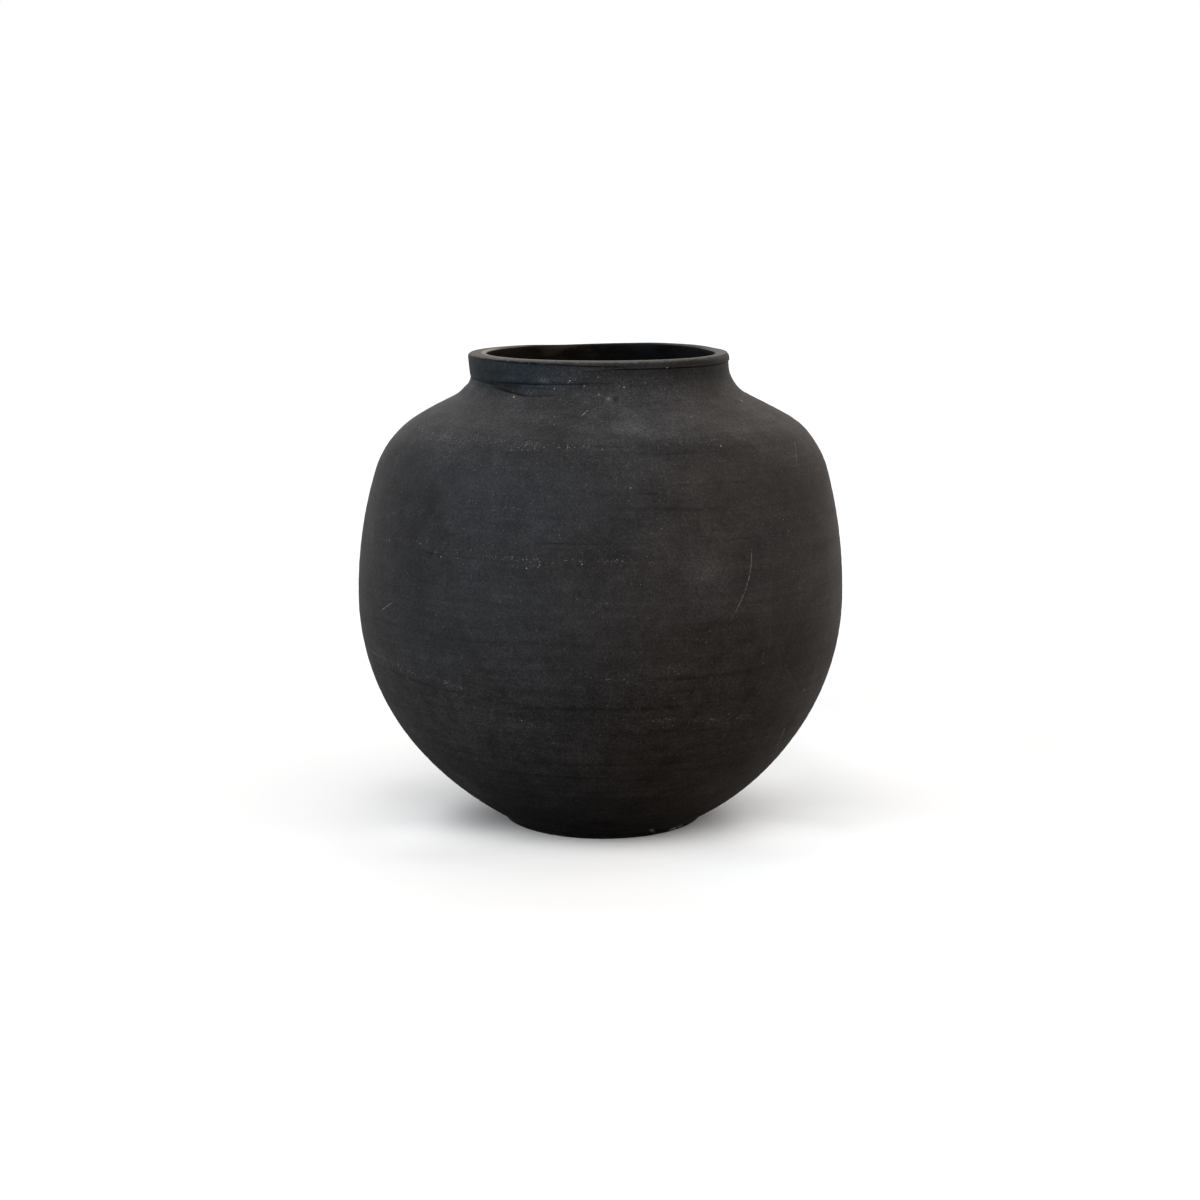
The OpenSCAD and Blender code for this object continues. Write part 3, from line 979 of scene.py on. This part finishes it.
def toned(n, colour):
    """Mottled at every scale, with bands, streaks and stains round the wheel, and painted light and shade."""
    n.bands = n.drawn_out(5, 75)
    n.streaks = n.drawn_out(26, 700)
    wisps = n.drawn_out(13, 300, roughness=0.6)
    mottle = n.noise(30, 6, 0.95)
    n.grain = n.noise(950, 2, 0.8)
    uneven = 0
    for noise, depth in zip((n.bands, wisps, n.streaks, mottle, n.grain), UNEVEN_DEPTHS):
        uneven = n.scaled(n.math("SUBTRACT", noise, 0.5), depth, uneven)
    coarser = n.most(n.ramp(n.z, 0.11, 0.14, 1.3, 1), n.ramp(n.z, 0.23, 0.26, 1, 1.3))
    ragged = n.ramp(n.noise(55, 4, 0.65), 0.25, 0.75, 0.3, 1.7, smooth=False)
    # Stains with painted shade and highlights, the foot's and the hollow's painted shade included
    stains_and_painted_light = n.mark("stains_and_painted_light")
    broken = n.ramp(n.drawn_out(90, 300, roughness=0.6), 0.3, 0.62, 0.15)
    frayed = n.ramp(n.drawn_out(90, 90, roughness=0.6), 0.3, 0.6, 0.5)
    n.seam_grit = n.product(n.mark("grit"), broken)
    streaked_and_shaded = n.product(n.seam_grit, SEAM_LIGHTER)
    # Streaks, with painted shade and highlight lines among them
    for start, end, half, lighter in STREAKS_AND_PAINTED_LIGHT:
        on_body = start[1] < NECK_FROM
        line = n.along(start, end, half, n.wavy_z if on_body else n.z)
        line_mark = n.product(line, broken if on_body else frayed)
        streaked_and_shaded = n.scaled(line_mark, lighter, streaked_and_shaded)
    tone = n.total(n.product(uneven, coarser), n.scaled(stains_and_painted_light, ragged, streaked_and_shaded))
    tone = n.math("EXPONENT", tone)
    grey = n.add("CombineColor", {0: tone, 1: tone, 2: tone}).outputs[0]
    return n.mix(1, colour, grey, "MULTIPLY")


def blued(n, colour):
    """Bluish smear on the left of the neck."""
    blue = n.product(n.mark("blue"), n.ramp(n.drawn_out(60, 200, 4, 0.7), 0.25, 0.75, 0.5))
    return n.mix(blue, colour, NECK_BLUE, "MULTIPLY")


def gritty(n, colour):
    """Dark pits and a fine pale sprinkle everywhere, a thicker one along the seams, and a few big grains."""
    pits, pit_luck, _ = n.specks(*PITS)
    pit_depth = n.scaled(n.seam_grit, 0.6, n.ramp(pit_luck, 0, 1, *PIT_COVER))
    colour = n.mix(n.product(pits, pit_depth), colour, PIT, "MULTIPLY")
    dust, dust_luck, dust_hue = n.specks(*DUST)
    dust = n.product(dust, n.ramp(dust_luck, 0.2, 1, *DUST_COVER))
    grains, grain_luck, _ = n.specks(*GRAINS)
    grains = n.product(grains, n.ramp(grain_luck, 0, 1, *GRAIN_COVER))
    dragged, dragged_luck, dragged_place = n.specks(*DRAGGED)
    close_grit = n.math("SUBTRACT", n.product(n.seam_grit, DRAGGED_SHARE), dragged_place)
    dragged = n.product(dragged, n.ramp(close_grit, 0, 0.2), n.ramp(dragged_luck, 0, 1, *DRAGGED_COVER))
    big = n.most(*[n.big_grain(*values) for values in BIG_GRAINS])
    grit = n.most(dust, grains, dragged, big)
    return n.mix(grit, colour, n.mix(n.ramp(dust_hue, 0.5, 0.8), SAND, CHALK))


def scratched(n, colour):
    """Scratches, broken along their length."""
    marks = n.most(*[n.scratch(*values) for values in SCRATCHES])
    marks = n.product(marks, n.ramp(n.noise(700, 1), 0.35, 0.6, 0.25))
    return n.mix(marks, colour, SCRATCH)


def lip_wear_and_painted_light(n, colour):
    """Lip band of wear and painted highlight, ragged below; painted inner left highlight, painted shade at
    the back.
    """
    # The lip's band is partly wear, partly painted highlight, and it fades towards the back
    wear_and_highlight_height = n.mark("wear_and_highlight")
    tatters = n.math("SUBTRACT", n.drawn_out(260, 120, roughness=0.7), 0.5)
    wear_and_highlight = n.ramp(n.scaled(tatters, 2.4, wear_and_highlight_height), -0.2, 0.35)
    wear_and_highlight = n.product(wear_and_highlight, n.ramp(n.noise(160, 4, 0.7), 0.3, 0.7, 0.55))
    wear_and_highlight = n.product(wear_and_highlight, n.fall(n.scaled(n.x, 0.3, n.y), 0.03, 0.06))
    colour = n.mix(wear_and_highlight, colour, WEAR_AND_HIGHLIGHT_COLOUR)
    # Painted highlight on the rim's inner left edge
    from_axis = n.length(n.x, n.y)
    edge = n.product(n.ramp(from_axis, 0.0718, 0.0726), n.fall(from_axis, 0.0742, 0.0760))
    edge = n.product(edge, n.ramp(n.z, 0.2975, 0.299), n.ramp(n.x, -0.045, -0.065, 0, 0.75))
    edge = n.product(edge, n.fall(n.y, 0.02, 0.04))
    colour = n.mix(edge, colour, PAINTED_RIM_HIGHLIGHT)
    # Painted shade on the rim's inner edge at the back
    shaded = n.product(n.ramp(n.y, 0.045, 0.065), n.ramp(from_axis, 0.0762, 0.0785, 0.85, 0))
    shaded = n.product(shaded, n.ramp(n.z, 0.297, 0.298))
    return n.mix(shaded, colour, INNER_BLUE)


def chipped(n, colour):
    """Bare clay in the foot's chips."""
    chips = n.most(*[n.along(*line, half, n.z) for line, half in CHIPS])
    chips = n.product(chips, n.ramp(n.noise(350), 0.36, 0.52))
    return n.mix(chips, colour, CHIP)


def clay_material():
    n = Clay("black_clay")
    colour = bare_clay(n)
    for step in (toned, blued, gritty, scratched, lip_wear_and_painted_light, chipped):
        colour = step(n, colour)
    rough_height = n.total(n.product(n.grain, 0.75), n.product(n.streaks, 0.3))
    bump = n.add("Bump", {"Strength": 0.35, "Distance": 0.25 * MM, "Height": rough_height})
    roughness = n.total(n.ramp(n.bands, 0.3, 0.7, 0.64, 0.72), n.ramp(n.z, 0.008, 0.032, 0.28, 0))
    return n.finish(n.add("BsdfPrincipled", {
        "Base Color": colour, "Roughness": roughness, "Specular IOR Level": 0.1, "Normal": bump.outputs[0],
    }))


def inner_material():
    """Dark, dull clay inside the vase, with a brown smear and a painted sheen near the rim."""
    n = Material("inner_clay")
    colour = n.mix(n.ramp(n.x, -0.05, 0.05), INNER_BROWN, INNER_BLUE)
    # Brown smear on the left and painted sheen on the right, high on the back wall
    smears_and_sheen = n.ramp(n.drawn_out(34, 110, 4, 0.6), 0.4, 0.58)
    smears_and_sheen = n.product(smears_and_sheen, n.ramp(n.z, 0.2885, 0.2975), n.ramp(n.x, -0.042, -0.031, 0.3, 1))
    colour = n.mix(smears_and_sheen, colour, n.mix(n.ramp(n.x, -0.016, 0.01), INNER_SMEAR, INNER_PAINTED_SHEEN))
    return n.finish(n.add("BsdfPrincipled", {
        "Base Color": colour, "Roughness": 0.9, "Specular IOR Level": 0.02,
    }))


clay = clay_material()
inner_clay = inner_material()
for piece in pieces:
    piece.data.materials.append(clay)
    piece.data.materials.append(inner_clay)

# White floor, soft lights and the camera

FLOOR_SIZE = 200
FLOOR_WHITE = 0.71
# Painted shadow and light on the floor: their place, their reach across and along, and how much lighter they
# are
FLOOR_PAINTED_SHADE_AND_LIGHT = (
    (0, -20, 420, 420, 0.2), (0, -75, 110, 55, 0.36), (-70, -15, 45, 55, -0.33), (-125, 40, 50, 60, -0.07),
    (70, -22, 28, 40, -0.16), (105, -48, 55, 45, 0.17), (-100, -65, 60, 40, 0.12), (100, 70, 50, 60, 0.08),
    (190, 150, 150, 160, 0.14), (-150, -70, 90, 60, 0.03), (160, -70, 90, 70, 0.06),
    (0, -122, 240, 34, 0.035), (0, -190, 260, 40, -0.02), (98, -76, 40, 34, 0.06),
    (-115, -45, 50, 32, 0.06), (-40, -66, 30, 14, -0.05), (118, 95, 40, 50, 0.04), (140, -5, 60, 25, 0.035),
)
# The floor's own tint takes off the warmth of the light, and more of it on the right
FLOOR_COOLER = 0.018
FLOOR_COOLER_RIGHT = 0.02
# Soft lights all round: elevation and angle of the middle of each, in degrees, and its strength
SKY_LIGHTS = (
    (-12, -90, 0.7), (-12, 135, 0.8), (12, -135, 1.3), (12, 135, 0.65),
    (38, 180, 1.85), (38, -45, 3.95), (38, 45, 1.55), (38, 90, 1.65),
)
# How fast a soft light falls off round its middle
LIGHT_FALL = 7
COOL_LIGHT = (0.995, 1, 1.01, 1)
WARM_LIGHT = (1.065, 1, 0.93, 1)
CAMERA_DISTANCE = 1.35
CAMERA_ELEVATION = math.radians(10.9)
CAMERA_AIM_HEIGHT = 0.1404
CAMERA_ACROSS = -0.0003
CAMERA_LENS = 62.76
CAMERA_SENSOR = 36


def add_floor():
    half = FLOOR_SIZE / 2
    mesh = bpy.data.meshes.new("floor")
    corners = [(-half, -half, 0), (half, -half, 0), (half, half, 0), (-half, half, 0)]
    mesh.from_pydata(corners, [], [(0, 1, 2, 3)])
    floor = bpy.data.objects.new("floor", mesh)
    bpy.context.scene.collection.objects.link(floor)
    n = Material("white_floor")
    white = FLOOR_WHITE
    # Painted shadow and light on the floor round the vase
    for at_x, at_y, reach_x, reach_y, lighter in FLOOR_PAINTED_SHADE_AND_LIGHT:
        off_x = n.off(n.x, at_x * MM)
        off_y = n.off(n.y, at_y * MM)
        near = n.product(n.fall(off_x, 0, reach_x * MM), n.fall(off_y, 0, reach_y * MM))
        white = n.scaled(near, lighter, white)
    right = n.product(n.ramp(n.x, 0, 0.08), n.fall(n.x, 0.14, 0.26), n.ramp(n.y, -0.24, -0.12))
    red = n.product(white, n.scaled(right, -FLOOR_COOLER_RIGHT, 1 - FLOOR_COOLER))
    blue = n.product(white, n.scaled(right, FLOOR_COOLER_RIGHT, 1 + FLOOR_COOLER))
    colour = n.add("CombineColor", {0: red, 1: white, 2: blue}).outputs[0]
    mesh.materials.append(n.finish(n.add("BsdfDiffuse", {"Color": colour})))
    # The lights do for the floor's glow too, so the floor shows to the camera alone
    floor.visible_diffuse = False
    floor.visible_glossy = False
    floor.visible_shadow = False


def add_sky():
    world = bpy.data.worlds.new("soft_light")
    world.use_nodes = True
    bpy.context.scene.world = world
    n = Nodes(world.node_tree)
    direction = n.add("TexCoord").outputs["Generated"]
    across = n.add("SeparateXYZ", {0: direction}).outputs[0]
    tint = n.mix(n.ramp(across, -1, 1), COOL_LIGHT, WARM_LIGHT)
    total = 0
    for elevation, angle, strength in SKY_LIGHTS:
        rise = math.radians(elevation)
        turn = math.radians(angle)
        middle = (math.cos(rise) * math.sin(turn), -math.cos(rise) * math.cos(turn), math.sin(rise))
        near = n.add("VectorMath", {0: direction, 1: middle}, operation="DOT_PRODUCT")
        glow = n.math("EXPONENT", n.scaled(near.outputs["Value"], LIGHT_FALL, -LIGHT_FALL))
        total = n.scaled(glow, strength, total)
    light = n.add("Background", {"Color": tint, "Strength": total})
    backdrop = n.add("Background", {"Color": (1, 1, 1, 1), "Strength": 1})
    seen = n.add("LightPath").outputs["Is Camera Ray"]
    both = n.add("MixShader", {0: seen, 1: light.outputs[0], 2: backdrop.outputs[0]})
    n.add("OutputWorld", {"Surface": both.outputs[0]})


def add_camera():
    data = bpy.data.cameras.new("camera")
    data.sensor_width = CAMERA_SENSOR
    data.lens = CAMERA_LENS
    camera = bpy.data.objects.new("camera", data)
    bpy.context.scene.collection.objects.link(camera)
    camera.location = (
        CAMERA_ACROSS, -CAMERA_DISTANCE * math.cos(CAMERA_ELEVATION),
        CAMERA_AIM_HEIGHT + CAMERA_DISTANCE * math.sin(CAMERA_ELEVATION),
    )
    camera.rotation_euler = (math.pi / 2 - CAMERA_ELEVATION, 0, 0)
    bpy.context.scene.camera = camera


add_floor()
add_sky()
add_camera()
bpy.context.scene.view_settings.view_transform = "Standard"
